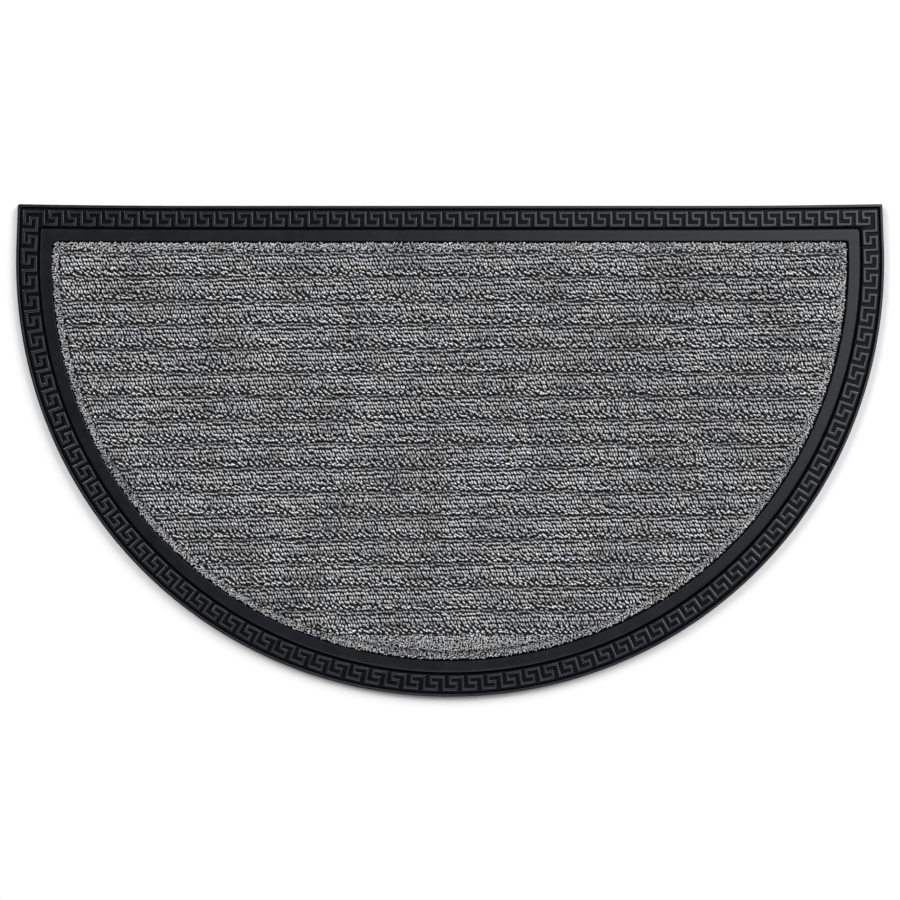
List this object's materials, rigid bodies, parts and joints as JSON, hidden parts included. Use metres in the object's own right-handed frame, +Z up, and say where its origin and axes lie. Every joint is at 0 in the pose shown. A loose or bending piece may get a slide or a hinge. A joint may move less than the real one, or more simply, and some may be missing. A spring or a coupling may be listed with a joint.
{
  "type": "half-round doormat",
  "caption": "Half-round doormat: black moulded rubber base with a raised Greek key border, round a grey loop-pile carpet pressed into ribs.",
  "frame": {"origin": "middle of the mat's footprint, on the floor", "axes": "+X along the straight edge, +Y towards the straight edge, +Z up"},
  "size_m": [0.7, 0.3971, 0.0076],
  "materials": {
    "rubber": "matt black moulded rubber",
    "carpet": "heather grey loop pile, pressed into ribs"
  },
  "bodies": {
    "root": {"rubber_base": "rubber", "carpet_panel": "carpet"}
  },
  "joints": []
}
